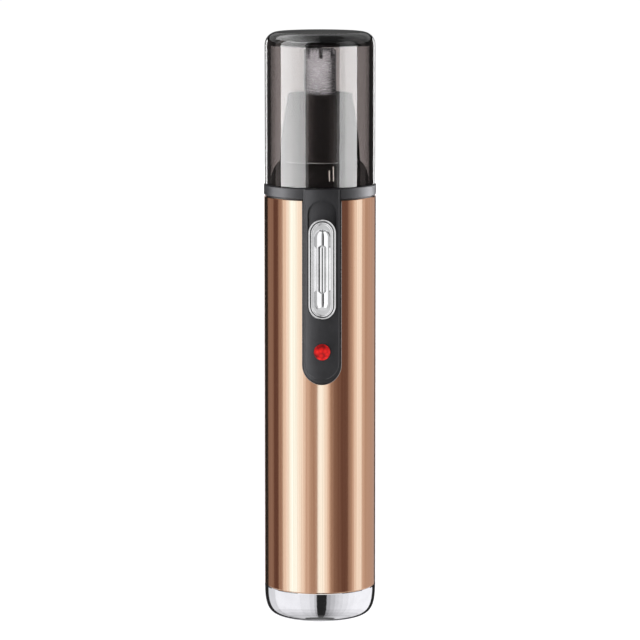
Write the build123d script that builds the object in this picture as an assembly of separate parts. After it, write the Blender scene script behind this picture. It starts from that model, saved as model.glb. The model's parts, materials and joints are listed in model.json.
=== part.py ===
from build123d import *

import os
from math import cos, radians, sin

# Battery nose hair trimmer: a slim round handle that stands on its base, with a clear cap over the cutter.
# Millimetres, +Z up, origin at the centre of the flat underside. The switch and the lamp face -Y.
# The handle is a metal sleeve over a two-part chassis that holds a charge jack, a cell, a motor and a board.
# The cutter head is a slotted steel guard in a plastic cone, with a blade that the motor turns inside it.

# ---- driving dimensions -------------------------------------------------------------------------------
HANDLE_R = 13.0
SLEEVE_WALL = 0.6
BASE_TOP = 7.3
SLEEVE_TOP = 98.7
RING_BOTTOM = 99.0
RING_TOP = 101.4
COLLAR_TOP = 106.75
CONE_TOP = 122.4
GUARD_TOP = 132.8
CAP_TOP = 136.5

FOOT_R = 9.0  # flat part of the underside
SOCKET_R = 1.3  # charge socket
SOCKET_LENGTH = 9.0

PANEL_R = 13.45
PANEL_WIDTH = 8.5
PANEL_BOTTOM = 56.5
LENS_Z = 63.9
LENS_R = 1.86
BUTTON_BOTTOM = 71.5
BUTTON_LENGTH = 23.0
BUTTON_WIDTH = 6.3
SWITCH_TRAVEL = 4.2
BUTTON_FACE = 14.5  # distance of the button's face from the axis
BUTTON_RIM = 0.42
RIM_GROOVE = 0.18  # width of the groove inside the button's rim
RIB_GROOVE = 0.3  # width of the groove along the button's rib

CAP_R = 12.75
CAP_WALL = 1.3
CAP_ROOF = 2.3
COLLAR_R = 11.3
CONE_FOOT_R = 9.25
CONE_WAIST_R = 8.62
CONE_TIP_R = 7.35
GUARD_R = 3.7
GUARD_WALL = 0.35
SLOT_COUNT = 8
SLOT_WIDTH = 0.85
SLOT_DEPTH = 2.3
TRIM_BOTTOM = 106.85  # bright ring under the cone
TRIM_TOP = 107.07

FIT = 0.05  # running and sliding gaps
GAP = 0.15  # loose gaps between mouldings

# ---- chassis and what it holds ------------------------------------------------------------------------
SLEEVE_BORE_R = HANDLE_R - SLEEVE_WALL
CHASSIS_R = SLEEVE_BORE_R - GAP
CHASSIS_BORE_R = CHASSIS_R - 1.4
CHASSIS_BOTTOM = 11.2
CHASSIS_TOP = 96.4
CHASSIS_FLOOR = 12.2
CELL_R = 7.25
CELL_BOTTOM = 12.4
CELL_TOP = 61.6
MOTOR_R = 10.05
MOTOR_HALF_FLAT = 7.55
MOTOR_BOTTOM = 64.6
MOTOR_TOP = 89.0
SHAFT_R = 1.0
BOARD_FACE = 9.4  # distance of the board's front face from the axis
BOARD_THICK = 1.0
BOARD_BOTTOM = 60.0
BOARD_TOP = 95.6
SCREW_X = 9.15
SCREW_ZS = (16.0, 57.0)
SCREW_R = 0.8
LEAD_R = 0.45
LEAD_XY = 6.4

# ---- drive and cutter head ----------------------------------------------------------------------------
COUPLING_R = 2.6
SEAL_SEAT = 99.4
PEG_BOTTOM = 100.25
PEG_TOP = 104.5
PEG_HALF = 1.35
SPINDLE_BOTTOM = 102.6
SPINDLE_R = 2.0
SOCKET_HALF = PEG_HALF + 0.07
BAYONET_R = 7.9
LUG_R = 8.65
LUG_COUNT = 3
LUG_HALF_ANGLE = 10.0
LOCK_ANGLE = 35.0  # clockwise from above, from the way in to the stop
LEDGE_BOTTOM = 104.0
LUG_TOP = LEDGE_BOTTOM - 0.2
LUG_BOTTOM = 102.3
HEAD_BOTTOM = 101.9
SEAL_Z = 105.4
SEAL_R = 7.55
SEAL_WIRE_R = 0.38


def outline(*edges):
    """Face in the XZ half plane, from edges drawn as (radius, height)."""
    return make_face(Plane.XZ * Curve(edges))


def lathe(*points):
    """Solid turned about Z from a closed outline of (radius, height) points."""
    return revolve(make_face(Plane.XZ * Polyline(*points, close=True)), Axis.Z)


def ring(outer, inner, bottom, top):
    return lathe((inner, bottom), (outer, bottom), (outer, top), (inner, top))


def rod(radius, bottom, top, x=0.0, y=0.0):
    low = (Align.CENTER, Align.CENTER, Align.MIN)
    return Pos(x, y, bottom) * Cylinder(radius, top - bottom, align=low)


def block(x_low, x_high, y_low, y_high, z_low, z_high):
    size = Box(x_high - x_low, y_high - y_low, z_high - z_low)
    return Pos((x_low + x_high) / 2, (y_low + y_high) / 2, (z_low + z_high) / 2) * size


def front_slot(width, bottom, top, near, far):
    """Upright stadium prism on the front, from near to far in front of the axis."""
    stadium = SlotOverall(top - bottom, width, rotation=90)
    return extrude(Plane.XZ.offset(near) * Pos(0, (bottom + top) / 2) * stadium, far - near)


def front_disc(radius, z, near, far, x=0.0):
    """Round prism on the front, from near to far in front of the axis."""
    return extrude(Plane.XZ.offset(near) * Pos(x, z) * Circle(radius), far - near)


def sector(radius, half_angle, middle, bottom, top):
    """Wedge from the axis, half_angle each side of the direction middle, in degrees."""
    reach = radius / cos(radians(half_angle))
    corners = [(reach * cos(radians(a)), reach * sin(radians(a)))
               for a in (middle - half_angle, middle + half_angle)]
    wedge = make_face(Polyline((0, 0), *corners, close=True))
    return extrude(Pos(0, 0, bottom) * wedge, top - bottom)


def lead(points, bend=2.2):
    """Insulated lead along a route of points."""
    path = FilletPolyline(*points, radius=bend)
    return sweep((path ^ 0) * Circle(LEAD_R), path=path)


# ---- outside of the handle ----------------------------------------------------------------------------
def base_cap():
    """Plated cup that closes the sleeve: a bulged side, a flat foot and a hole for the charge socket."""
    bevel, nose_r = 0.2, 2.6
    side = Bezier((HANDLE_R, BASE_TOP - bevel), (HANDLE_R, 2.2), (12.2, 0), (FOOT_R, 0))
    wall = [(nose_r, 0), (nose_r, 1.6), (9.4, 1.6), (11.2, 3.6), (11.2, 10.6),
            (SLEEVE_BORE_R - 0.1, 10.6), (SLEEVE_BORE_R - 0.1, BASE_TOP), (HANDLE_R - bevel, BASE_TOP),
            (HANDLE_R, BASE_TOP - bevel)]
    return revolve(outline(side, Line((FOOT_R, 0), wall[0]), Polyline(*wall)), Axis.Z)


def charge_jack():
    """Moulded jack with a round socket that is flush with the underside."""
    body = rod(2.5, 0, 1.7) + block(-3.5, 3.5, -4, 4, 1.7, 10.6)
    return body - rod(SOCKET_R, 0, SOCKET_LENGTH)


def jack_tabs():
    return [block(-0.9, 0.9, y, y + 0.3, 6.0, 10.2) for y in (4.0, -4.3)]


def body_sleeve():
    """Thin metal sleeve with a notch for the front panel, round at its lower end and open at the top."""
    sleeve = ring(HANDLE_R, SLEEVE_BORE_R, BASE_TOP + FIT, SLEEVE_TOP)
    rims = sleeve.edges().filter_by(GeomType.CIRCLE).filter_by(lambda e: abs(e.radius - HANDLE_R) < 0.01)
    notch = front_slot(PANEL_WIDTH + 0.2, PANEL_BOTTOM - 0.1, SLEEVE_TOP + 20, 10, 15)
    return chamfer(rims, 0.12) - notch


def top_ring():
    """Dark ring over the sleeve, with a skirt inside it and a gap for the front panel."""
    flange = ring(HANDLE_R, COLLAR_R + FIT, RING_BOTTOM, RING_TOP)
    rims = flange.edges().filter_by(GeomType.CIRCLE).filter_by(lambda e: abs(e.radius - HANDLE_R) < 0.01)
    skirt = ring(SLEEVE_BORE_R - 0.1, 11.0, CHASSIS_TOP + 0.1, RING_BOTTOM)
    half = PANEL_WIDTH / 2 + 0.1
    notch = block(-half, half, -15, 0, 90, RING_TOP + 1) - rod(CHASSIS_R, 90, RING_TOP + 1)
    return chamfer(rims, 0.15) + skirt - notch


def head_collar():
    """Fixed collar that carries the cap and locks the cutter head by its bayonet groove."""
    shoulder = ThreePointArc((COLLAR_R, 102.5), (10.75, 104.9), (9.4, COLLAR_TOP))
    bore, groove = BAYONET_R + GAP, LUG_R + GAP
    inside = [(9.4, COLLAR_TOP), (bore, COLLAR_TOP), (bore, LEDGE_BOTTOM), (groove, LEDGE_BOTTOM),
              (groove, 101.2), (4.6, 101.2), (4.6, SEAL_SEAT), (3.4, SEAL_SEAT), (3.4, 97.6),
              (9.6, 97.6), (9.6, CHASSIS_TOP), (10.9, CHASSIS_TOP), (10.9, RING_BOTTOM),
              (COLLAR_R, RING_BOTTOM), (COLLAR_R, 102.5)]
    collar = revolve(outline(shoulder, Polyline(*inside)), Axis.Z)
    way_in = ring(groove, 7.0, LEDGE_BOTTOM - 0.5, COLLAR_TOP + 1)
    stop = ring(groove + 0.2, bore, 101, LEDGE_BOTTOM + 0.2)
    for i in range(LUG_COUNT):
        angle = 90 + i * 360 / LUG_COUNT
        past_lock = angle - LOCK_ANGLE - LUG_HALF_ANGLE
        collar -= way_in & sector(12, LUG_HALF_ANGLE + 2, angle, 100, 110)
        collar += stop & sector(12, 3, past_lock - 3.5, 100, 110)
        collar += stop & sector(12, 3, angle + LUG_HALF_ANGLE + 3.5, 100, LUG_TOP)
    foot, tip, root = (COLLAR_R - 0.1, 102.9), (9.75, 106.4), 9.0
    proud = ThreePointArc(foot, (10.86, 104.9), tip)
    back = Polyline(tip, (root, tip[1]), (root, foot[1]), foot)
    rib = revolve(outline(proud, back), Axis.Z)
    for x, top in ((1.55, 105.6), (2.45, 106.4)):
        collar += rib & block(x, x + 0.3, -12, -root, foot[1], top)
    return collar


def drive_seal():
    """Rubber washer that keeps hair out of the motor."""
    return ring(4.5, COUPLING_R + FIT, SEAL_SEAT, SEAL_SEAT + 0.75)


def front_panel():
    """Black inlay on a low lip, with a recess for the button, a slot for its stem and a lens hole."""
    lip = ring(HANDLE_R + 0.12, CHASSIS_R + FIT, PANEL_BOTTOM - 1, RING_TOP)
    lip &= front_slot(PANEL_WIDTH, PANEL_BOTTOM, RING_TOP + 20, 10, 15)
    plate = ring(PANEL_R, CHASSIS_R + FIT, PANEL_BOTTOM - 1, RING_TOP)
    plate &= front_slot(PANEL_WIDTH - 0.5, PANEL_BOTTOM + 0.9, RING_TOP + 20, 10, 15)
    rims = plate.edges().filter_by(lambda e: abs((e @ 0.5).Y**2 + (e @ 0.5).X**2 - PANEL_R**2) < 0.02)
    plate = chamfer(rims, 0.2) + lip
    recess = front_slot(BUTTON_WIDTH + 0.3, BUTTON_BOTTOM - 0.15,
                        BUTTON_BOTTOM + BUTTON_LENGTH + SWITCH_TRAVEL + 0.15, 10, 15)
    plate -= recess - rod(PANEL_R - 0.6, 50, 110)
    plate -= front_slot(2.6, 78.4, 91.6, 10, 15)
    return plate - front_disc(LENS_R + 0.04, LENS_Z, 10, 15)


def indicator_lens():
    """Domed red light guide with a flange behind the panel."""
    dome = Pos(0, -PANEL_R + 4.4, LENS_Z) * Sphere(4.9)
    stem = front_disc(LENS_R, LENS_Z, 12.05, 14.2)
    return (stem & dome) + front_disc(2.3, LENS_Z, 11.3, 12.05)


# ---- switch -------------------------------------------------------------------------------------------
def button_slot(inset, near, far):
    """Stadium prism that lies inside the button's outline by the inset."""
    low, high = BUTTON_BOTTOM + inset, BUTTON_BOTTOM + BUTTON_LENGTH - inset
    return front_slot(BUTTON_WIDTH - 2 * inset, low, high, near, far)


def soften_front(layer, edge):
    return fillet(layer.faces().sort_by(Axis.Y)[0].edges(), edge)


def upright_capsule(radius, half_length, distance):
    """Round-ended rod along Z in front of the axis and level with the button's middle."""
    place = Pos(0, -distance, BUTTON_BOTTOM + BUTTON_LENGTH / 2)
    ends = [Pos(0, 0, z) * Sphere(radius) for z in (-half_length, half_length)]
    return place * (Cylinder(radius, 2 * half_length) + ends)


def switch_button():
    """Plated slider: a rim, a groove inside it, two steps, a long scoop with a rib, and a stem behind."""
    floor_r = PANEL_R - 0.6 + 0.1
    rim_face, step_face = BUTTON_FACE - 0.55, BUTTON_FACE - 0.27
    groove_floor = rim_face - 0.35
    rim = button_slot(0, 12.0, rim_face) - button_slot(BUTTON_RIM, groove_floor, rim_face)
    button = soften_front(rim, 0.17)
    step_inset = BUTTON_RIM + RIM_GROOVE
    button += soften_front(button_slot(step_inset, groove_floor - 0.1, step_face), 0.22)
    button += soften_front(button_slot(step_inset + 0.35, step_face - 0.1, BUTTON_FACE), 0.22)
    button -= upright_capsule(2.4, 7.5, 16.0)
    button += upright_capsule(0.8, 4.8, 13.65)
    middle = BUTTON_BOTTOM + BUTTON_LENGTH / 2
    button -= front_slot(RIB_GROOVE, middle - 5.2, middle + 5.2, 14.1, 15)
    button -= rod(floor_r, 50, 110)
    return button + front_slot(2.3, 78.6, 87.2, 11.9, 13.2)


def switch_carrier():
    """Slide behind the panel, clipped to the button's stem, with a pocket for the switch's knob."""
    plate = block(-2.7, 2.7, -11.9, -11.1, 77.0, 90.2)
    return plate - block(-1.1, 1.1, -12, -11, 81.9, 84.1)


def switch_knob():
    return block(-1.0, 1.0, -11.6, -10.2, 82.0, 84.0)


def slide_switch():
    """Metal-cased slide switch on the board, with a window that its knob travels in."""
    case = block(-2.1, 2.1, -10.95, -BOARD_FACE, 79.0, 91.0)
    return case - block(-1.1, 1.1, -11, -10.1, 81.9, 88.3)


# ---- board --------------------------------------------------------------------------------------------
def circuit_board():
    board = block(-4.2, 4.2, -BOARD_FACE, -BOARD_FACE + BOARD_THICK, BOARD_BOTTOM, BOARD_TOP)
    return board - front_disc(0.9, BOARD_TOP - 1.6, 8, 10)


def indicator_lamp():
    step = BOARD_FACE + 0.6
    return front_disc(1.5, LENS_Z, step, 11.1) + front_disc(1.8, LENS_Z, BOARD_FACE, step)


def board_parts():
    """Resistors, a diode and a charge chip in front of the board."""
    chips = [(-3.0, 68.2, 1.2, 2.0), (0.0, 68.2, 1.2, 2.0), (2.8, 68.6, 1.6, 2.8), (-1.6, 73.4, 3.9, 4.9)]
    front = -BOARD_FACE
    return [block(x - w / 2, x + w / 2, front - 0.7, front, z - h / 2, z + h / 2) for x, z, w, h in chips]


# ---- chassis ------------------------------------------------------------------------------------------
def motor_outline(extra=0.0):
    """Round can with two flat sides, as a solid over the motor's height."""
    body = rod(MOTOR_R + extra, MOTOR_BOTTOM, MOTOR_TOP)
    flat = MOTOR_HALF_FLAT + extra
    return body & block(-12, 12, -flat, flat, MOTOR_BOTTOM, MOTOR_TOP)


def chassis_body():
    """Chassis before it is split: a tube with cell ribs, motor ribs and four screw bosses."""
    body = ring(CHASSIS_R, CHASSIS_BORE_R, CHASSIS_BOTTOM, CHASSIS_TOP)
    for z in (22.0, 36.0, 50.0):
        body += ring(CHASSIS_BORE_R + 0.2, CELL_R + 0.1, z, z + 1.5)
    for z in (67.0, 77.0, 86.0):
        body += ring(CHASSIS_BORE_R + 0.2, 2, z, z + 1.6) - motor_outline(0.1)
    body += ring(CHASSIS_BORE_R + 0.2, 3.15, MOTOR_TOP, MOTOR_TOP + 1.3)
    for z in SCREW_ZS:
        for x in (-SCREW_X, SCREW_X):
            boss = extrude(Plane.XZ.offset(-9) * Pos(x, z) * Circle(1.75), 15.5)
            body += boss & rod(CHASSIS_R, CHASSIS_BOTTOM, CHASSIS_TOP)
            body -= extrude(Plane.XZ.offset(-10) * Pos(x, z) * Circle(SCREW_R + FIT), 15)
            body -= extrude(Plane.XZ.offset(-12) * Pos(x, z) * Circle(1.6), 6.8)
    for x in (-LEAD_XY, LEAD_XY):
        body -= block(x - 0.9, x + 0.9, -LEAD_XY - 1.1, -4.4, CHASSIS_BOTTOM, 62)
    body -= block(-4.45, 4.45, -10.2, -7.0, 50, CHASSIS_TOP)
    body -= rod(CELL_R + 0.1, CHASSIS_BOTTOM, 62)
    floor = rod(CHASSIS_BORE_R + 0.1, CHASSIS_BOTTOM, CHASSIS_FLOOR)
    return body + floor - block(-7.4, 7.4, -8, -4.2, CHASSIS_BOTTOM, CHASSIS_FLOOR)


def chassis_rear(body):
    return body & block(-14, 14, 0.03, 14, 0, 100)


def chassis_front(body):
    """Front half, with windows for the switch carrier and the lens."""
    half = body & block(-14, 14, -14, -0.03, 0, 100)
    half -= block(-3.0, 3.0, -14, -9, 76.0, 95.2)
    return half - front_disc(2.45, LENS_Z, 9, 14)


def chassis_screws():
    """Four pan-head screws from the rear."""
    screws = []
    for z in SCREW_ZS:
        for x in (-SCREW_X, SCREW_X):
            shank = extrude(Plane.XZ.offset(-5.2) * Pos(x, z) * Circle(SCREW_R), 9.8)
            head = extrude(Plane.XZ.offset(-6.2) * Pos(x, z) * Circle(1.45), 1.0)
            cross = block(x - 0.9, x + 0.9, 5.8, 7, z - 0.15, z + 0.15)
            cross += block(x - 0.15, x + 0.15, 5.8, 7, z - 0.9, z + 0.9)
            screws.append(shank + head - cross)
    return screws


# ---- cell ---------------------------------------------------------------------------------------------
def cell_can():
    can = rod(CELL_R - 0.12, CELL_BOTTOM, CELL_TOP - 0.2)
    return fillet(can.edges(), 0.6) + rod(2.75, CELL_TOP - 0.4, CELL_TOP + 0.7)


def cell_wrap():
    """Shrink sleeve around the cell, turned in over both rims."""
    inner = CELL_R - 0.11
    return lathe((inner, CELL_BOTTOM + 0.7), (CELL_R, CELL_BOTTOM + 0.7), (CELL_R, CELL_TOP - 0.9),
                 (inner, CELL_TOP - 0.9))


def cell_tabs():
    """Nickel strips welded to both poles of the cell."""
    board_back = BOARD_THICK - BOARD_FACE
    lower = block(-2, 2, -5.6, 5.6, CELL_BOTTOM - 0.2, CELL_BOTTOM)
    upper = block(-1.2, 1.2, board_back, 2.0, CELL_TOP + 0.7, CELL_TOP + 0.9)
    return [lower, upper]


# ---- motor --------------------------------------------------------------------------------------------
def motor_can():
    wall = 0.7
    inner = rod(MOTOR_R - wall, MOTOR_BOTTOM - 1, MOTOR_TOP - wall)
    flat = MOTOR_HALF_FLAT - wall
    inner &= block(-12, 12, -flat, flat, 0, 200)
    can = motor_outline() - inner + rod(3.05, MOTOR_TOP - wall, MOTOR_TOP + 1.6)
    return can - rod(2.0, MOTOR_TOP - 2, MOTOR_TOP + 2)


def motor_end_cap():
    """Moulded end cap in the open end of the can, with a seat for the lower bush."""
    plug = rod(MOTOR_R - 0.75, MOTOR_BOTTOM - 0.9, MOTOR_BOTTOM + 1.8)
    plug &= block(-12, 12, -MOTOR_HALF_FLAT + 0.75, MOTOR_HALF_FLAT - 0.75, 0, 200)
    slots = block(-5.4, -4.6, -1.1, 1.1, 60, 70) + block(4.6, 5.4, -1.1, 1.1, 60, 70)
    return plug - slots - rod(2.0, 60, 70)


def motor_bushes():
    upper = ring(2.0, SHAFT_R + 0.03, MOTOR_TOP - 0.9, MOTOR_TOP + 1.6)
    lower = ring(2.0, SHAFT_R + 0.03, MOTOR_BOTTOM - 0.9, MOTOR_BOTTOM + 1.6)
    return [upper, lower]


def motor_magnets():
    shell = ring(MOTOR_R - 0.72, 7.0, 70.5, 86.5)
    return [shell & sector(11, 40, side, 60, 90) for side in (0, 180)]


def motor_terminals():
    return [block(x - 0.25, x + 0.25, -1.0, 1.0, 62.6, 68.0) for x in (-5.0, 5.0)]


def motor_brushes():
    """Leaf brushes from the terminals to the commutator."""
    return [block(min(x, 2.15 * side), max(x, 2.15 * side), -0.5, 0.5, 68.0, 68.6)
            for side, x in ((-1, -5.2), (1, 5.2))]


def rotor_shaft():
    return fillet(rod(SHAFT_R, 63.4, 98.2).edges(), 0.2)


def rotor_core():
    """Laminated core with three poles."""
    hub = rod(2.0, 72.5, 84.5)
    for i in range(3):
        angle = 90 + 120 * i
        neck = block(0, 6.2, -0.9, 0.9, 72.5, 84.5)
        shoe = ring(6.7, 5.7, 72.5, 84.5) & sector(8, 50, 0, 60, 90)
        hub += Rot(0, 0, angle) * (neck + shoe)
    return hub - rod(SHAFT_R, 60, 100)


def rotor_windings():
    """Three copper coils, one around each pole's neck."""
    coils = []
    for i in range(3):
        bundle = block(2.5, 5.4, -1.8, 1.8, 71.6, 85.4)
        bundle = fillet(bundle.edges().filter_by(Axis.X), 0.35)
        coils.append(Rot(0, 0, 90 + 120 * i) * (bundle - block(2, 6, -0.95, 0.95, 72.45, 84.55)))
    return coils


def commutator():
    return ring(2.1, SHAFT_R, 67.0, 70.0)


def drive_coupling():
    """Plastic driver pressed on the shaft, with a square peg for the cutter's spindle."""
    hub = rod(COUPLING_R, 91.4, PEG_BOTTOM)
    peg = block(-PEG_HALF, PEG_HALF, -PEG_HALF, PEG_HALF, PEG_BOTTOM, PEG_TOP)
    peg = chamfer(peg.faces().sort_by(Axis.Z)[-1].edges(), 0.3)
    return hub + peg - rod(SHAFT_R, 90, 98.2)


def drive_spring():
    """Coil spring around the peg, which pushes the blade up against its guard."""
    turns, low, high, mean_r, wire_r = 3, PEG_BOTTOM + 0.2, SPINDLE_BOTTOM - 0.25, 2.25, 0.17
    helix = Helix(pitch=(high - low) / turns, height=high - low, radius=mean_r)
    coil = sweep((helix ^ 0) * Circle(wire_r), path=helix, is_frenet=True)
    return Pos(0, 0, low) * coil


# ---- cutter head --------------------------------------------------------------------------------------
def head_cone():
    """Plastic cone with gently bulged sides and a seat for the steel guard."""
    seat_r = CONE_FOOT_R - 0.45
    side = ThreePointArc((CONE_FOOT_R, TRIM_TOP), (CONE_WAIST_R, 114.4), (CONE_TIP_R, 122.0))
    edge = ThreePointArc((CONE_TIP_R, 122.0), (7.21, 122.28), (6.93, CONE_TOP))
    rest = Polyline((6.93, CONE_TOP), (4.35, CONE_TOP), (4.35, 122.1), (GUARD_R, 122.1),
                    (GUARD_R, 120.2), (6.0, 120.2), (7.0, 114.4), (7.65, TRIM_BOTTOM),
                    (seat_r, TRIM_BOTTOM), (seat_r, TRIM_TOP), (CONE_FOOT_R, TRIM_TOP))
    return revolve(outline(side, edge, rest), Axis.Z)


def head_trim():
    """Thin bright ring let into the cone's foot, with a rounded rim that stands just proud."""
    half = (TRIM_TOP - TRIM_BOTTOM) / 2
    inner, rim = CONE_FOOT_R - 0.42, CONE_FOOT_R - 0.03
    bead = ThreePointArc((rim, TRIM_BOTTOM + 0.01), (rim + half, TRIM_BOTTOM + half), (rim, TRIM_TOP - 0.01))
    back = Polyline((rim, TRIM_TOP - 0.01), (inner, TRIM_TOP - 0.01), (inner, TRIM_BOTTOM + 0.01),
                    (rim, TRIM_BOTTOM + 0.01))
    return revolve(outline(bead, back), Axis.Z)


def head_base():
    """Insert that closes the cone: a spigot with three bayonet lugs and a groove for the seal."""
    groove_r = SEAL_R - SEAL_WIRE_R - FIT
    spigot = lathe((3.3, HEAD_BOTTOM), (BAYONET_R, HEAD_BOTTOM), (BAYONET_R, SEAL_Z - 0.5),
                   (groove_r, SEAL_Z - 0.5), (groove_r, SEAL_Z + 0.5), (BAYONET_R, SEAL_Z + 0.5),
                   (BAYONET_R, 106.8), (7.55, 106.8), (7.4, 109.6), (6.4, 109.6), (6.4, 104.4),
                   (3.3, 104.4))
    for i in range(LUG_COUNT):
        lug = ring(LUG_R, BAYONET_R - 0.2, LUG_BOTTOM, LUG_TOP)
        spigot += lug & sector(12, LUG_HALF_ANGLE, 90 + i * 360 / LUG_COUNT, 100, 105)
    return spigot


def head_seal():
    """Rubber ring that keeps the head from rattling in the collar."""
    return Pos(0, 0, SEAL_Z) * Torus(SEAL_R, SEAL_WIRE_R)


def cutter_guard():
    """Steel tube with a rounded, closed end and radial slots, flanged under the cone's top."""
    inner_r = GUARD_R - GUARD_WALL
    crown = 0.95
    bulge = crown * (1 - cos(radians(45)))
    outside = ThreePointArc((GUARD_R, GUARD_TOP - crown), (GUARD_R - bulge, GUARD_TOP - bulge),
                            (GUARD_R - crown, GUARD_TOP))
    in_crown = crown - GUARD_WALL
    in_bulge = in_crown * (1 - cos(radians(45)))
    roof = GUARD_TOP - GUARD_WALL
    inside = ThreePointArc((inner_r - in_crown, roof), (inner_r - in_bulge, roof - in_bulge),
                           (inner_r, roof - in_crown))
    guard = revolve(outline(outside, Polyline((GUARD_R - crown, GUARD_TOP), (0, GUARD_TOP), (0, roof),
                                              (inner_r - in_crown, roof)),
                            inside, Polyline((inner_r, roof - in_crown), (inner_r, 119.7), (4.5, 119.7),
                                             (4.5, 120.15), (GUARD_R, 120.15),
                                             (GUARD_R, GUARD_TOP - crown))), Axis.Z)
    half, root = SLOT_WIDTH / 2, 1.5
    foot = GUARD_TOP - SLOT_DEPTH + half
    for i in range(SLOT_COUNT):
        slot = block(root, 5, -half, half, foot, GUARD_TOP + 1)
        slot += Pos(root, 0, GUARD_TOP - 1.5) * Cylinder(half, 6)
        slot += Pos(3.5, 0, foot) * Rot(0, 90, 0) * Cylinder(half, 2.4)
        guard -= Rot(0, 0, -90 + i * 360 / SLOT_COUNT) * (slot - rod(1.0, foot - 2, foot + 0.2))
    return guard


def guard_retainer():
    """Ring that traps the guard's flange in the cone and seats the spindle's bush."""
    return ring(6.05, 3.2, 117.4, 119.65) & rod(5.9, 117, 120)


def spindle_bush():
    return ring(3.2, SPINDLE_R + FIT, 117.4, 119.65)


def blade_spindle():
    """Plastic spindle: a square socket below, a shaft through the bush and a slotted holder on top."""
    body = rod(3.0, SPINDLE_BOTTOM, 106.2) + rod(SPINDLE_R, 106.2, 121.6) + rod(2.6, 121.6, 124.6)
    socket = block(-SOCKET_HALF, SOCKET_HALF, -SOCKET_HALF, SOCKET_HALF, SPINDLE_BOTTOM, 105.2)
    slits = block(-3, 3, -0.3, 0.3, 121.9, 125) + block(-0.3, 0.3, -3, 3, 121.9, 125)
    return body - socket - slits


def inner_blade():
    """Two crossed steel blades with sharpened outer edges and a notch between their arms."""
    reach = GUARD_R - GUARD_WALL - 0.08
    top = GUARD_TOP - GUARD_WALL - 0.08
    shape = Polyline((-2.4, 121.95), (2.4, 121.95), (2.4, 124.9), (reach, 125.6), (reach, top - 0.7),
                     (reach - 0.7, top), (1.1, top), (1.1, 126.4), (-1.1, 126.4), (-1.1, top),
                     (-reach + 0.7, top), (-reach, top - 0.7), (-reach, 125.6), (-2.4, 124.9), close=True)
    plate = extrude(Plane.XZ.offset(-0.29) * make_face(shape), 0.58)
    return plate + Rot(0, 0, 90) * plate


# ---- cap ----------------------------------------------------------------------------------------------
def cap():
    """Clear cap: a straight wall, a rounded shoulder and a thick roof."""
    shoulder, inner_corner = 3.0, 0.8
    bottom, roof, bore = RING_TOP + 0.05, CAP_TOP - CAP_ROOF, CAP_R - CAP_WALL
    bend = shoulder * (1 - cos(radians(45)))
    in_bend = inner_corner * (1 - cos(radians(45)))
    outer = ThreePointArc((CAP_R, CAP_TOP - shoulder), (CAP_R - bend, CAP_TOP - bend),
                          (CAP_R - shoulder, CAP_TOP))
    inner = ThreePointArc((bore - inner_corner, roof), (bore - in_bend, roof - in_bend),
                          (bore, roof - inner_corner))
    top = Polyline((CAP_R - shoulder, CAP_TOP), (0, CAP_TOP), (0, roof), (bore - inner_corner, roof))
    wall = Polyline((bore, roof - inner_corner), (bore, bottom + 0.2), (bore + 0.2, bottom),
                    (CAP_R - 0.15, bottom), (CAP_R, bottom + 0.15), (CAP_R, CAP_TOP - shoulder))
    return revolve(outline(outer, top, inner, wall), Axis.Z)


# ---- leads --------------------------------------------------------------------------------------------
def leads():
    """Leads inside the chassis: the jack and the cell to the board, and the board to the motor."""
    pair = [lead([(s * 2.0, -7.9, 62.2), (s * 2.4, -6.6, 63.1), (s * 5.0, -3.0, 63.1),
                  (s * 5.0, -1.05, 63.1)], bend=0.7) for s in (-1, 1)]
    left, right = -LEAD_XY, LEAD_XY
    jack_lead = lead([(-1.4, -4.8, 9.6), (left + 1, -5.6, 10.6), (left, -6.2, 14.0), (left, -6.2, 56.0),
                      (-3.4, -7.95, 60.4), (-3.4, -7.95, 63.6)])
    cell_lead = lead([(1.4, -5.0, 11.7), (right - 1, -5.6, 11.9), (right, -6.2, 15.0), (right, -6.2, 56.0),
                      (3.4, -7.95, 60.4), (3.4, -7.95, 63.6)], bend=1.6)
    return {"jack_lead": jack_lead, "cell_lead": cell_lead, "motor_leads": pair}


def main():
    body = chassis_body()
    parts = {
        "base_cap": base_cap(),
        "charge_jack": charge_jack(),
        "jack_tabs": jack_tabs(),
        "body_sleeve": body_sleeve(),
        "top_ring": top_ring(),
        "head_collar": head_collar(),
        "drive_seal": drive_seal(),
        "front_panel": front_panel(),
        "indicator_lens": indicator_lens(),
        "switch_button": switch_button(),
        "switch_carrier": switch_carrier(),
        "switch_knob": switch_knob(),
        "slide_switch": slide_switch(),
        "circuit_board": circuit_board(),
        "indicator_lamp": indicator_lamp(),
        "board_parts": board_parts(),
        "chassis_rear": chassis_rear(body),
        "chassis_front": chassis_front(body),
        "chassis_screws": chassis_screws(),
        "cell_can": cell_can(),
        "cell_wrap": cell_wrap(),
        "cell_tabs": cell_tabs(),
        "motor_can": motor_can(),
        "motor_end_cap": motor_end_cap(),
        "motor_bushes": motor_bushes(),
        "motor_magnets": motor_magnets(),
        "motor_terminals": motor_terminals(),
        "motor_brushes": motor_brushes(),
        "rotor_shaft": rotor_shaft(),
        "rotor_core": rotor_core(),
        "rotor_windings": rotor_windings(),
        "commutator": commutator(),
        "drive_coupling": drive_coupling(),
        "drive_spring": drive_spring(),
        "head_cone": head_cone(),
        "head_trim": head_trim(),
        "head_base": head_base(),
        "head_seal": head_seal(),
        "cutter_guard": cutter_guard(),
        "guard_retainer": guard_retainer(),
        "spindle_bush": spindle_bush(),
        "blade_spindle": blade_spindle(),
        "inner_blade": inner_blade(),
        "cap": cap(),
        **leads(),
    }
    os.makedirs("parts", exist_ok=True)
    for name, shape in parts.items():
        solids = shape if isinstance(shape, list) else [shape]
        pieces = [solid for item in solids for solid in item.solids()]
        export_step(pieces[0] if len(pieces) == 1 else Compound(children=pieces), f"parts/{name}.step")


main()
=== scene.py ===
import json
from math import cos, pi, radians, sin, tan

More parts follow.
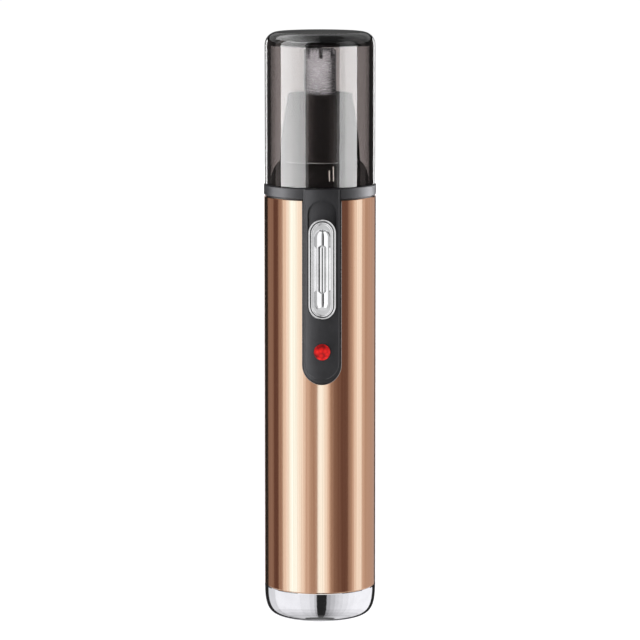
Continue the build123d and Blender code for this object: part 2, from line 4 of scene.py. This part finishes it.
import bmesh
import bpy
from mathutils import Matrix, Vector

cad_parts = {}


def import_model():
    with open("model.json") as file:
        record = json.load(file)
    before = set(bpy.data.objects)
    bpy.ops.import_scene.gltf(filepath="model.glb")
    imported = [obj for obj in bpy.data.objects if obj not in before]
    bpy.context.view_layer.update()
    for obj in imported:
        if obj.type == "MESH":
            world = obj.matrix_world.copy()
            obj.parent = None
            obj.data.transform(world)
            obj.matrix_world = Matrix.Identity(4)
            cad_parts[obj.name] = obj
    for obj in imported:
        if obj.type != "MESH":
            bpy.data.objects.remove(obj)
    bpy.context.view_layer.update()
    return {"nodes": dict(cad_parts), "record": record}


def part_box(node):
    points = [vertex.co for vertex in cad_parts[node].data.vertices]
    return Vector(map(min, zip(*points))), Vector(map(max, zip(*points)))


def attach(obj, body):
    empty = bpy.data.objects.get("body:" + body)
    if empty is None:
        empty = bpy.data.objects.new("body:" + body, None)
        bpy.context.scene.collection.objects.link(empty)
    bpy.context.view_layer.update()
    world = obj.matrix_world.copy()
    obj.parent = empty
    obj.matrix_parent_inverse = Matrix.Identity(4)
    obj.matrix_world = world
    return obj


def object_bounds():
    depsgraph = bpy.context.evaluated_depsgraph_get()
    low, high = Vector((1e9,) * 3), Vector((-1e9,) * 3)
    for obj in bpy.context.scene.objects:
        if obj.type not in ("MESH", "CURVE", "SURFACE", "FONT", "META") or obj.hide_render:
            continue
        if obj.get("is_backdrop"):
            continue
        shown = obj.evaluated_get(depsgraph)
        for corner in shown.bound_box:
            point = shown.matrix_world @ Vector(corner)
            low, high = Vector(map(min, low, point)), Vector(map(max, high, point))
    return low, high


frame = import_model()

scene = bpy.context.scene
nodes = frame["nodes"]
MM = 0.001


# ---- node helpers -------------------------------------------------------------------------------------
class Mat:
    """A node material with one Principled shader, with short calls for the nodes around it."""

    def __init__(self, name, color, rough, metallic=0.0, **sockets):
        self.m = bpy.data.materials.new(name)
        self.m.use_nodes = True
        self.t = self.m.node_tree
        self.t.nodes.clear()
        self.out = self.t.nodes.new("ShaderNodeOutputMaterial")
        self.p = self.t.nodes.new("ShaderNodeBsdfPrincipled")
        self.link(self.p.outputs[0], self.out.inputs["Surface"])
        self.set("Base Color", (*color, 1))
        self.set("Roughness", rough)
        self.set("Metallic", metallic)
        for key, value in sockets.items():
            self.set(key.replace("_", " "), value)
        self.bump_out = None
        self.m.diffuse_color = (*color, 1)

    def set(self, name, value):
        self.p.inputs[name].default_value = value

    def link(self, a, b):
        self.t.links.new(a, b)

    def node(self, kind, **values):
        """New node; each value goes to the node's setting of that name, or else to its input."""
        n = self.t.nodes.new("ShaderNode" + kind)
        for key, value in values.items():
            if hasattr(n, key) and key not in n.inputs:
                setattr(n, key, value)
            else:
                n.inputs[key.replace("_", " ")].default_value = value
        return n

    def coords(self, scale):
        """Object coordinates in millimetres, times scale along each axis."""
        where = self.node("TexCoord")
        mapping = self.node("Mapping", Scale=Vector(scale) * 1000)
        self.link(where.outputs["Object"], mapping.inputs["Vector"])
        return mapping.outputs[0]

    def noise(self, scale, detail=4.0, roughness=0.55):
        n = self.node("TexNoise", Scale=1.0, Detail=detail, Roughness=roughness)
        self.link(self.coords(scale), n.inputs["Vector"])
        return n.outputs["Fac"]

    def cells(self, scale, feature="F1"):
        n = self.node("TexVoronoi", feature=feature, Scale=1.0)
        self.link(self.coords(scale), n.inputs["Vector"])
        return n.outputs["Distance"]

    def wave(self, direction, scale, stretch):
        n = self.node("TexWave", bands_direction=direction, Scale=scale)
        self.link(self.coords(stretch), n.inputs["Vector"])
        return n.outputs["Fac"]

    def ramp(self, fac, *stops):
        """Colour ramp with stops of (position, colour or grey)."""
        r = self.node("ValToRGB")
        e = r.color_ramp.elements
        while len(e) < len(stops):
            e.new(0.5)
        for item, (where, value) in zip(e, stops):
            item.position = where
            item.color = (value,) * 3 + (1,) if isinstance(value, (int, float)) else (*value, 1)
        self.link(fac, r.inputs["Fac"])
        return r.outputs["Color"]

    def paint(self, fac, *stops):
        self.link(self.ramp(fac, *stops), self.p.inputs["Base Color"])
        return self

    def roughen(self, fac, low, high, start=0.3, end=0.7):
        self.link(self.ramp(fac, (start, low), (end, high)), self.p.inputs["Roughness"])
        return self

    def bump(self, height, strength, depth_mm):
        b = self.node("Bump", Strength=strength, Distance=depth_mm * MM)
        self.link(height, b.inputs["Height"])
        if self.bump_out:
            self.link(self.bump_out, b.inputs["Normal"])
        self.bump_out = b.outputs[0]
        self.link(self.bump_out, self.p.inputs["Normal"])
        return self


def shade(color, k):
    return tuple(min(1.0, c * k) for c in color)


def plastic(name, color, rough, grain=3.0, depth=0.01, spread=0.12, **more):
    """Moulded plastic: a fine texture, a slight mottle and patches rubbed smoother."""
    m = Mat(name, color, rough, **more)
    m.paint(m.noise((0.5,) * 3), (0.3, shade(color, 1 - spread)), (0.7, shade(color, 1 + spread)))
    m.roughen(m.noise((0.16,) * 3, 6), rough * 0.82, min(1, rough * 1.2))
    m.bump(m.noise((grain,) * 3, 2), 0.35, depth)
    return m


def metal(name, color, rough, grain=(6, 6, 0.2), depth=0.004, spread=0.08):
    """Worked metal: long fine lines along the tool's path, and faint smears."""
    m = Mat(name, color, rough, 1.0)
    lines = m.noise(grain, 6, 0.7)
    m.paint(lines, (0.3, shade(color, 1 - spread)), (0.7, shade(color, 1 + spread)))
    m.roughen(lines, rough * 0.75, rough * 1.3)
    m.bump(lines, 0.3, depth)
    return m


# ---- materials ----------------------------------------------------------------------------------------
def gold():
    """Anodised sleeve drawn lengthways: hair-fine lines along Z in colour, gloss and height."""
    base = (0.80, 0.515, 0.325)
    m = Mat("gold_anodised", base, 0.15, 1.0)
    fine = m.noise((14, 14, 0.02), 5, 0.75)
    broad = m.noise((2.4, 2.4, 0.005), 3, 0.6)
    both = m.node("Math", operation="ADD")
    half = m.node("Math", operation="MULTIPLY")
    half.inputs[1].default_value = 0.5
    m.link(fine, both.inputs[0])
    m.link(broad, both.inputs[1])
    m.link(both.outputs[0], half.inputs[0])
    m.paint(half.outputs[0], (0.36, (0.72, 0.44, 0.27)), (0.5, base), (0.64, (0.86, 0.58, 0.39)))
    m.roughen(fine, 0.10, 0.16)
    m.bump(fine, 0.10, 0.003)
    return m


def chrome():
    """Bright plating with faint smears."""
    m = Mat("chrome", (0.86, 0.86, 0.87), 0.06, 1.0)
    smear = m.noise((0.22, 0.22, 0.3), 5)
    m.paint(smear, (0.3, (0.80, 0.80, 0.81)), (0.7, (0.90, 0.90, 0.91)))
    m.roughen(smear, 0.035, 0.09)
    m.bump(m.noise((5, 5, 5), 2), 0.05, 0.002)
    return m


def smoked():
    """Smoked plastic: clear at its skin, and darker with the length of the way through."""
    m = Mat("smoked_clear", (0.97, 0.965, 0.96), 0.01, IOR=1.49, Transmission_Weight=1.0)
    haze = m.noise((0.12, 0.12, 0.12), 6)
    m.roughen(haze, 0.005, 0.03)
    depth = m.node("VolumeAbsorption", Color=(0.37, 0.31, 0.30, 1), Density=820.0)
    m.link(depth.outputs[0], m.out.inputs["Volume"])
    return m


def red_lens():
    """Red lens with a faint painted glow that brightens it, and facets moulded in its back, painted darker as
    their shade.
    """
    # Slight emission: a painted glow that brightens the red.
    m = Mat("red_lens", (0.6, 0.005, 0.005), 0.35, Specular_IOR_Level=0.25, Emission_Color=(1, 0.01, 0.01, 1),
            Emission_Strength=0.06)
    facets = m.cells((0.95, 0.95, 0.95))
    # Darker colour towards the facets' edges: painted shade of the facets.
    m.paint(facets, (0.12, (0.85, 0.015, 0.01)), (0.45, (0.60, 0.004, 0.004)), (0.85, (0.14, 0.0, 0.002)))
    m.bump(facets, 0.25, 0.08)
    return m


def board():
    """Green circuit board with its glass weave."""
    m = Mat("board", (0.03, 0.20, 0.09), 0.3, Coat_Weight=0.5)
    weave = m.cells((1.1, 1.1, 1.1), "DISTANCE_TO_EDGE")
    m.paint(weave, (0.02, (0.05, 0.30, 0.14)), (0.12, (0.02, 0.17, 0.07)))
    m.bump(weave, 0.3, 0.03)
    return m


def laminated():
    """Stacked steel sheets: bands across Z."""
    m = Mat("laminations", (0.30, 0.31, 0.33), 0.4, 1.0)
    bands = m.wave("Z", 0.6, (1, 1, 1))
    m.paint(bands, (0.2, (0.15, 0.15, 0.16)), (0.6, (0.38, 0.39, 0.41)))
    m.bump(bands, 0.5, 0.05)
    return m


def wound():
    """Coiled enamelled wire: slanted turns."""
    m = Mat("copper", (0.72, 0.30, 0.14), 0.28, 1.0)
    turns = m.wave("DIAGONAL", 1.3, (0.4, 0.4, 1))
    m.paint(turns, (0.2, (0.42, 0.15, 0.06)), (0.6, (0.80, 0.36, 0.18)))
    m.bump(turns, 0.6, 0.05)
    return m


materials = {
    "gold_anodised": gold(),
    "chrome": chrome(),
    "black_matte": plastic("black_matte", (0.012, 0.012, 0.013), 0.42, 5, 0.012, 0.2),
    "black_gloss": plastic("black_gloss", (0.010, 0.0095, 0.0095), 0.16, 1.2, 0.003, 0.2),
    "smoked_clear": smoked(),
    "red_lens": red_lens(),
    "red_lamp": plastic("red_lamp", (0.6, 0.02, 0.02), 0.25, Subsurface_Weight=0.4, Subsurface_Scale=0.001),
    "steel": metal("steel", (0.60, 0.60, 0.61), 0.24, (0.8, 0.8, 12), 0.0006),
    "shaft_steel": metal("shaft_steel", (0.68, 0.68, 0.69), 0.15, (0.5, 0.5, 8)),
    "motor_zinc": metal("motor_zinc", (0.60, 0.61, 0.63), 0.3, (1.2, 1.2, 1.2)),
    "laminations": laminated(),
    "magnet": plastic("magnet", (0.05, 0.05, 0.052), 0.7, 4, 0.03),
    "white_acetal": plastic("white_acetal", (0.80, 0.80, 0.76), 0.4, 3, 0.01, 0.04),
    "black_nylon": plastic("black_nylon", (0.022, 0.022, 0.024), 0.5, 4, 0.015),
    "white_nylon": plastic("white_nylon", (0.82, 0.82, 0.80), 0.45, 3, 0.01, 0.04),
    "rubber": plastic("rubber", (0.016, 0.016, 0.016), 0.8, 6, 0.02),
    "bronze": metal("bronze", (0.50, 0.33, 0.16), 0.42, (4, 4, 4), 0.01),
    "copper": wound(),
    "brass": metal("brass", (0.72, 0.53, 0.24), 0.25, (3, 3, 3)),
    "chassis_grey": plastic("chassis_grey", (0.045, 0.047, 0.05), 0.5, 4, 0.015),
    "nickel": metal("nickel", (0.70, 0.68, 0.64), 0.24, (2, 2, 0.4)),
    "cell_wrap": plastic("cell_wrap", (0.03, 0.26, 0.09), 0.3, 0.8, 0.02, 0.08),
    "board": board(),
    "board_black": plastic("board_black", (0.015, 0.015, 0.015), 0.55, 5, 0.02),
    "lead_red": plastic("lead_red", (0.55, 0.02, 0.015), 0.38, 2, 0.01),
    "lead_black": plastic("lead_black", (0.012, 0.012, 0.012), 0.38, 2, 0.01),
    "lead_white": plastic("lead_white", (0.80, 0.80, 0.77), 0.38, 2, 0.01, 0.04),
}

for part in frame["record"]["subparts"]:
    mesh = nodes[part["node"]].data
    mesh.materials.clear()
    mesh.materials.append(materials[part["material_slot"]].m)


# ---- pieces -------------------------------------------------------------------------------------------
def piece(name, verts, faces, slot, body, smooth=True):
    """Mesh in metres that takes a slot's material and rides on a body."""
    mesh = bpy.data.meshes.new(name)
    mesh.from_pydata(verts, [], faces)
    mesh.validate()
    b = bmesh.new()
    b.from_mesh(mesh)
    bmesh.ops.recalc_face_normals(b, faces=b.faces)
    b.to_mesh(mesh)
    b.free()
    for face in mesh.polygons:
        face.use_smooth = smooth
    mesh.materials.append(materials[slot].m)
    thing = bpy.data.objects.new(name, mesh)
    scene.collection.objects.link(thing)
    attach(thing, body)


def bead(path, ups, across, proud, sides=10):
    """Oval bead along a path: ups are the outward directions, across and proud its half width and height."""
    verts, faces = [], []
    for i, (point, up) in enumerate(zip(path, ups)):
        ahead = path[min(i + 1, len(path) - 1)] - path[max(i - 1, 0)]
        side = up.cross(ahead).normalized()
        for k in range(sides):
            turn = 2 * pi * k / sides
            verts.append(point + side * across * cos(turn) + up * proud * sin(turn))
    for i in range(len(path) - 1):
        for k in range(sides):
            a, b = i * sides + k, i * sides + (k + 1) % sides
            faces.append((a, b, b + sides, a + sides))
    faces.append(tuple(range(sides)))
    faces.append(tuple(range(len(verts) - sides, len(verts))))
    return verts, faces


def sleeve_edge():
    """Turned-out edge of the sleeve along its notch for the front panel."""
    gap, straight_steps, arc_steps = 0.20 * MM, 30, 48
    panel_low, panel_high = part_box("front_panel")
    _, sleeve_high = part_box("body_sleeve")
    radius, half = sleeve_high[0], panel_high[0] + gap
    centre_z, top = panel_low[2] - gap + half, sleeve_high[2] - 0.15 * MM
    flat = [(-half, top + (centre_z - top) * i / straight_steps) for i in range(straight_steps)]
    flat += [(-half * cos(pi * i / arc_steps), centre_z - half * sin(pi * i / arc_steps))
             for i in range(arc_steps + 1)]
    flat += [(half, centre_z + (top - centre_z) * i / straight_steps) for i in range(1, straight_steps + 1)]
    ups = [Vector((x / radius, -(1 - (x / radius) ** 2) ** 0.5, 0)) for x, _ in flat]
    path = [up * (radius - 0.01 * MM) + Vector((0, 0, z)) for up, (x, z) in zip(ups, flat)]
    piece("sleeve_edge", *bead(path, ups, 0.11 * MM, 0.12 * MM), "steel", "handle")


def shade_strip(name, rings, face, back):
    """Black strip in a groove of the button, from face back to back along Y: a dark piece standing in for the
    groove's shade.

    Each of its one or two outlines is an upright capsule on the button's middle, given by its half width
    and its reach up and down. Two outlines leave a loop between them.
    """
    low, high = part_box("switch_button")
    middle = (low[2] + high[2]) / 2
    verts, faces, steps = [], [], 24
    n = 2 * (steps + 1)
    for y in (face, back):
        for half, reach in rings:
            for end in (1, -1):
                for i in range(steps + 1):
                    a = pi * i / steps
                    verts.append((half * cos(a) * end, y, middle + end * (reach - half + half * sin(a))))
    if len(rings) == 1:
        faces = [tuple(range(n)), tuple(range(2 * n - 1, n - 1, -1))]
        strips = [(0, n)]
    else:
        strips = [(0, n), (2 * n, 3 * n), (0, 2 * n), (n, 3 * n)]
    for a, b in strips:
        faces += [(a + i, a + (i + 1) % n, b + (i + 1) % n, b + i) for i in range(n)]
    piece(name, verts, faces, "black_gloss", "switch", smooth=False)


def button_shade_lines():
    """Black strips in the grooves along the button's rib and inside its rim: painted shade lines for the
    grooves' darkness.
    """
    low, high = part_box("switch_button")
    half, reach, face = (high[0] - low[0]) / 2, (high[2] - low[2]) / 2, low[1]
    # Painted shade along the rib's groove.
    shade_strip("rib_shade_line", [(0.148 * MM, 5.19 * MM)], face + 0.07 * MM, face + 0.39 * MM)
    rim = [(half - inset, reach - inset) for inset in (0.43 * MM, 0.59 * MM)]
    # Painted shade in the groove inside the rim.
    shade_strip("rim_shade_line", rim, face + 0.72 * MM, face + 0.89 * MM)


def index_marks():
    """Two light strips on the collar's index ribs, which follow its rounded shoulder."""
    _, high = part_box("head_collar")
    radius, top = high[0], high[2]
    steps, start, shoulder = 12, 3.75, 3.9 * MM
    for name, x, end in (("index_mark_a", 1.70, 1.3), ("index_mark_b", 2.60, 0.5)):
        path, ups = [], []
        for i in range(steps + 1):
            down = (start + (end - start) * i / steps) * MM
            out = radius - 0.02 * MM - 1.02 * (1 - down / shoulder) ** 1.6 * MM
            up = Vector((x * MM / out, -(1 - (x * MM / out) ** 2) ** 0.5, 0.35)).normalized()
            path.append(Vector((x * MM, -(out ** 2 - (x * MM) ** 2) ** 0.5, top - down)))
            ups.append(up)
        piece(name, *bead(path, ups, 0.11 * MM, 0.06 * MM), "white_acetal", "handle")


sleeve_edge()
button_shade_lines()
index_marks()


# ---- floor, light and camera --------------------------------------------------------------------------
BOX_DISTANCE = 1.1
LILAC, UMBER = (0.97, 0.965, 1.0), (1.0, 0.88, 0.85)
claimed = set()     # names of what has lights of its own


def floor():
    """Pale sheet. It glows a little more far away, and reflections see past it to the lights and the room."""
    mesh = bpy.data.meshes.new("floor")
    half = 6.0
    corners = [(-half, -half, 0), (half, -half, 0), (half, half, 0), (-half, half, 0)]
    mesh.from_pydata(corners, [], [(0, 1, 2, 3)])
    sheet = bpy.data.objects.new("floor", mesh)
    scene.collection.objects.link(sheet)
    m = Mat("floor_paper", (0.9, 0.9, 0.9), 0.9, Specular_IOR_Level=0.1)
    m.paint(m.noise((0.004,) * 3), (0.3, 0.89), (0.7, 0.91))
    m.set("Emission Color", (1, 1, 1, 1))
    away = m.node("TexGradient", gradient_type="SPHERICAL")
    m.link(m.coords((0.0016,) * 3), away.inputs["Vector"])
    m.link(m.ramp(away.outputs["Fac"], (0.0, 1.0), (0.9, 0.80)), m.p.inputs["Emission Strength"])
    path, clear, mix = m.node("LightPath"), m.node("BsdfTransparent"), m.node("MixShader")
    m.link(path.outputs["Glossy Depth"], mix.inputs[0])
    m.link(m.p.outputs[0], mix.inputs[1])
    m.link(clear.outputs[0], mix.inputs[2])
    m.link(mix.outputs[0], m.out.inputs["Surface"])
    mesh.materials.append(m.m)
    sheet.visible_shadow = False
    sheet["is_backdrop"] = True
    return sheet


def lit_set(name, *members):
    """Collection that a group of lights is limited to. Its members are then left out of the room's set."""
    claimed.update(members)
    group = bpy.data.collections.new(name)
    for member in members:
        group.objects.link(nodes.get(member) or bpy.data.objects[member])
    return group


def area_light(name, group, width, height, colour, place, facing, direct=False):
    """Area light of even radiance for one set of surfaces. Direct: only found by aiming at it."""
    data = bpy.data.lights.new(name, "AREA")
    data.shape, data.size, data.size_y = "RECTANGLE", width, height
    data.energy, data.color = pi * width * height, colour
    data.cycles.use_multiple_importance_sampling = not direct
    lamp = bpy.data.objects.new(name, data)
    lamp.location = place
    lamp.rotation_euler = Vector(facing).to_track_quat("-Z", "Y").to_euler()
    lamp.visible_camera = lamp.visible_transmission = False
    lamp.light_linking.receiver_collection = group
    scene.collection.objects.link(lamp)


def softbox(name, group, start, end, colour, low=-2.6, high=1.3, direct=False, widest=50):
    """Upright light facing the axis, between two azimuths in degrees from the -Y side towards +X.

    One that spans more than the widest angle is made of several flat ones.
    """
    out, steps = BOX_DISTANCE, int((end - start) // widest) + 1
    half = (end - start) / steps / 2
    for i in range(steps):
        a = radians(start + half * (2 * i + 1))
        area_light(f"{name}_{i}", group, 2 * out * tan(radians(half)), high - low, colour,
                   (out * sin(a), -out * cos(a), (low + high) / 2), (-sin(a), cos(a), 0), direct)


def grey(level, tint=(1, 1, 1)):
    return tuple(level * t for t in tint)


def glow(level):
    """Light on the sleeve: red when weak and cool when strong, so the gold runs from brown to cream."""
    return 0.05 + level * (1.2 - 0.3 * level), level, level * (0.88 + 0.25 * level)


def camera():
    """Long lens, a little above the middle and a little to the left, aimed at half height."""
    away, height, aim_height, turn = 0.8, 0.180, 0.0695, radians(-2)
    data = bpy.data.cameras.new("camera")
    data.lens, data.sensor_width = 195.2, 36
    data.clip_start, data.clip_end = 0.05, 20
    cam = bpy.data.objects.new("camera", data)
    cam.location = (away * sin(turn), -away * cos(turn), height)
    aim = Vector((0, 0, aim_height)) - cam.location
    cam.rotation_euler = aim.to_track_quat("-Z", "Y").to_euler()
    scene.collection.objects.link(cam)
    scene.camera = cam


def world():
    """Dim room, a little lighter from below. The camera itself sees plain white."""
    scene.world = bpy.data.worlds.new("studio")
    scene.world.use_nodes = True
    tree = scene.world.node_tree
    tree.nodes.clear()
    new = tree.nodes.new
    out, mix, path = new("ShaderNodeOutputWorld"), new("ShaderNodeMixShader"), new("ShaderNodeLightPath")
    lit, seen = new("ShaderNodeBackground"), new("ShaderNodeBackground")
    where, split, ramp = new("ShaderNodeTexCoord"), new("ShaderNodeSeparateXYZ"), new("ShaderNodeValToRGB")
    ramp.color_ramp.elements[0].position = 0.02
    ramp.color_ramp.elements[0].color = (0.12, 0.12, 0.12, 1)
    ramp.color_ramp.elements[1].position = 0.10
    ramp.color_ramp.elements[1].color = (0.02, 0.02, 0.02, 1)
    half = new("ShaderNodeMath")
    half.operation = "MULTIPLY_ADD"
    half.inputs[1].default_value = half.inputs[2].default_value = 0.5
    tree.links.new(where.outputs["Generated"], split.inputs[0])
    tree.links.new(split.outputs["Z"], half.inputs[0])
    tree.links.new(half.outputs[0], ramp.inputs[0])
    tree.links.new(ramp.outputs[0], lit.inputs["Color"])
    seen.inputs["Color"].default_value = (1, 1, 1, 1)
    seen.inputs["Strength"].default_value = 1.05
    tree.links.new(path.outputs["Is Camera Ray"], mix.inputs[0])
    tree.links.new(lit.outputs[0], mix.inputs[1])
    tree.links.new(seen.outputs[0], mix.inputs[2])
    tree.links.new(mix.outputs[0], out.inputs["Surface"])


scene.view_settings.view_transform = "Standard"
paper = floor()
world()
camera()

# Each part has boxes of its own round the axis, so that its highlights can be placed.
# The sleeve's, side by side: the azimuth where each ends, and its level.
SLEEVE = [
    (-137, 0), (-113, 0.20), (-97, 0.05), (-85, 0.30), (-74, 1.0), (-68, 1.4), (-50, 1.82), (-41, 1.45),
    (-33, 1.06), (-22, 0.62), (-7, 0.38), (6, 1.62), (11, 1.3), (15, 1.1), (19, 0.74), (26, 0.29), (34, 0.16),
    (43, 0.11), (58, 0.07), (64, 0.26), (69, 0.44), (74, 0.70), (79, 1.06), (94, 1.3), (103, 0.62),
    (133, 0.46), (151, 0.43)]
start = -156
sleeve = lit_set("lit_sleeve", "body_sleeve")
for end, level in SLEEVE:
    if level:
        softbox(f"sleeve_{end}", sleeve, start, end, glow(level))
    start = end
softbox("sleeve_back", sleeve, 163, 197, glow(0.9))

# The base's, each side of a black gap: start, end and level. Lower down they are dimmer, in the steps below.
BASE = [(-138, -110, 0.78), (-110, -45, 1.0), (-45, -24, 0.92), (-24, -14, 0.82), (-14, -9, 0.6),
        (12, 20, 0.45), (20, 30, 0.58), (30, 38, 0.72), (38, 47, 0.80), (47, 60, 0.90), (60, 75, 1.0),
        (75, 138, 1.06), (165, 195, 0.8)]
BASE_STEPS = [(-0.7, 0.9, 1.0), (-1.0, -0.7, 0.88), (-1.5, -1.0, 0.74), (-3.6, -1.5, 0.60)]
base = lit_set("lit_base", "base_cap")
for start, end, level in BASE:
    for low, high, dim in BASE_STEPS:
        softbox(f"base_{start}_{high}", base, start, end, grey(level ** (2 - dim) * dim, LILAC), low, high)
area_light("base_over", base, 1.2, 1.2, grey(1.2), (0, 0, 1.2), (0, 0, -1))

# The button's: the azimuth where each ends, and its level. Its flat faces see the front ones.
KEY = [(-105, 0.12), (-62, 0.55), (-19, 1.25), (-0.5, 0.02), (12, 0.62), (60, 1.15), (105, 0.5), (160, 0.12),
       (200, 0.5)]
key = lit_set("lit_key", "switch_button", "rib_shade_line", "rim_shade_line")
start = -160
for end, level in KEY:
    softbox(f"key_{end}", key, start, end, grey(level))
    start = end
area_light("key_over", key, 2.4, 2.4, grey(0.7), (0, 0, 1.4), (0, 0, -1))

trim = lit_set("lit_trim", "front_panel")
for start, end, level in ((-95, -24, 3.7), (-24, 50, 0.15), (50, 110, 1.6)):
    softbox(f"trim_{end}", trim, start, end, grey(level, LILAC))
edge = lit_set("lit_edge", "sleeve_edge")
softbox("edge_left", edge, -150, -20, grey(0.35))
softbox("edge_right", edge, 20, 150, grey(0.5, UMBER))

band = lit_set("lit_band", "top_ring")
for start, end, level in ((-112, -78, 7), (-78, -55, 2.5), (-55, 60, 0.4), (60, 90, 1.2), (90, 135, 7)):
    softbox(f"band_{end}", band, start, end, grey(level, LILAC))

guard = lit_set("lit_guard", "cutter_guard", "head_trim")
softbox("guard", guard, -112, 80, grey(5.0, LILAC), direct=True, widest=100)
softbox("guard_back", guard, 125, 220, grey(0.7, LILAC), direct=True, widest=100)
area_light("guard_over", guard, 1.6, 1.6, grey(2.0, LILAC), (0, 0, 1.2), (0, 0, -1), direct=True)
inside = lit_set("lit_inside", "inner_blade", "blade_spindle")
softbox("inside", inside, -40, 40, grey(0.03), direct=True)

cone = lit_set("lit_cone", "head_cone", "head_base", "head_collar", "index_mark_a", "index_mark_b")
CONE = [(-112, -50, 1.5), (-50, -38, 5.0), (-38, -22, 1.6), (-22, 28, 0.1), (28, 45, 1.2), (45, 112, 1.5)]
for start, end, level in CONE:
    softbox(f"cone_{end}", cone, start, end, grey(level, UMBER), direct=True)

# The cap's windows: start, end, level, and how much of it is left higher up, where the roof sees it.
CAP = [(-91, -62, 13, 0.5), (-62, -46, 11, 0.5), (-46, -32, 9, 0.5), (-32, -26, 1.2, 0.5),
       (26, 33, 0.3, 0.1), (33, 39, 1.5, 0.1), (39, 52, 9, 0.1), (52, 81, 12, 0.1)]
CAP_BREAK = 0.25
cap = lit_set("lit_cap", "cap")
for start, end, level, left_over in CAP:
    softbox(f"cap_{end}", cap, start, end, grey(level), -2.0, CAP_BREAK)
    softbox(f"cap_high_{end}", cap, start, end, grey(left_over * level), CAP_BREAK, 1.1)
for side, sign, level in (("left", -1, 0.9), ("right", 1, 0.4)):
    softbox("cap_side_" + side, cap, *sorted((90 * sign, 108 * sign)), grey(level, UMBER))
    softbox("cap_wing_" + side, cap, *sorted((108 * sign, 146 * sign)), grey(0.15 * level, UMBER))
    softbox("cap_edge_" + side, cap, *sorted((146 * sign, 160 * sign)), grey(2.6), -0.3, 0.3)
softbox("cap_back", cap, 162, 198, grey(0.07), 0.13, 0.45)
softbox("cap_sky", cap, 60, 300, grey(0.5), 0.45, 2.2)
# Strips over the cap, from left to right: the X where each ends, and its level.
CAP_OVER = [(-0.6, 3.4), (-0.5, 3.0), (-0.4, 2.5), (-0.3, 2.0), (-0.2, 1.5), (-0.1, 1.0), (0, 0.6),
            (1.5, 0.25)]
left = -1.5
for right, level in CAP_OVER:
    area_light(f"cap_over_{right}", cap, right - left, 2.4, grey(level), ((left + right) / 2, 0, 1.2),
               (0, 0, -1))
    left = right

rest = lit_set("lit_rest", *[name for name in nodes if name not in claimed])
rest.objects.link(paper)
softbox("room_left", rest, -110, -35, grey(1.2))
softbox("room_front", rest, -35, 40, grey(0.35))
softbox("room_right", rest, 40, 110, grey(1.2))
softbox("room_back", rest, 150, 210, grey(0.6))
nodes["cap"].visible_shadow = False

low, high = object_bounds()
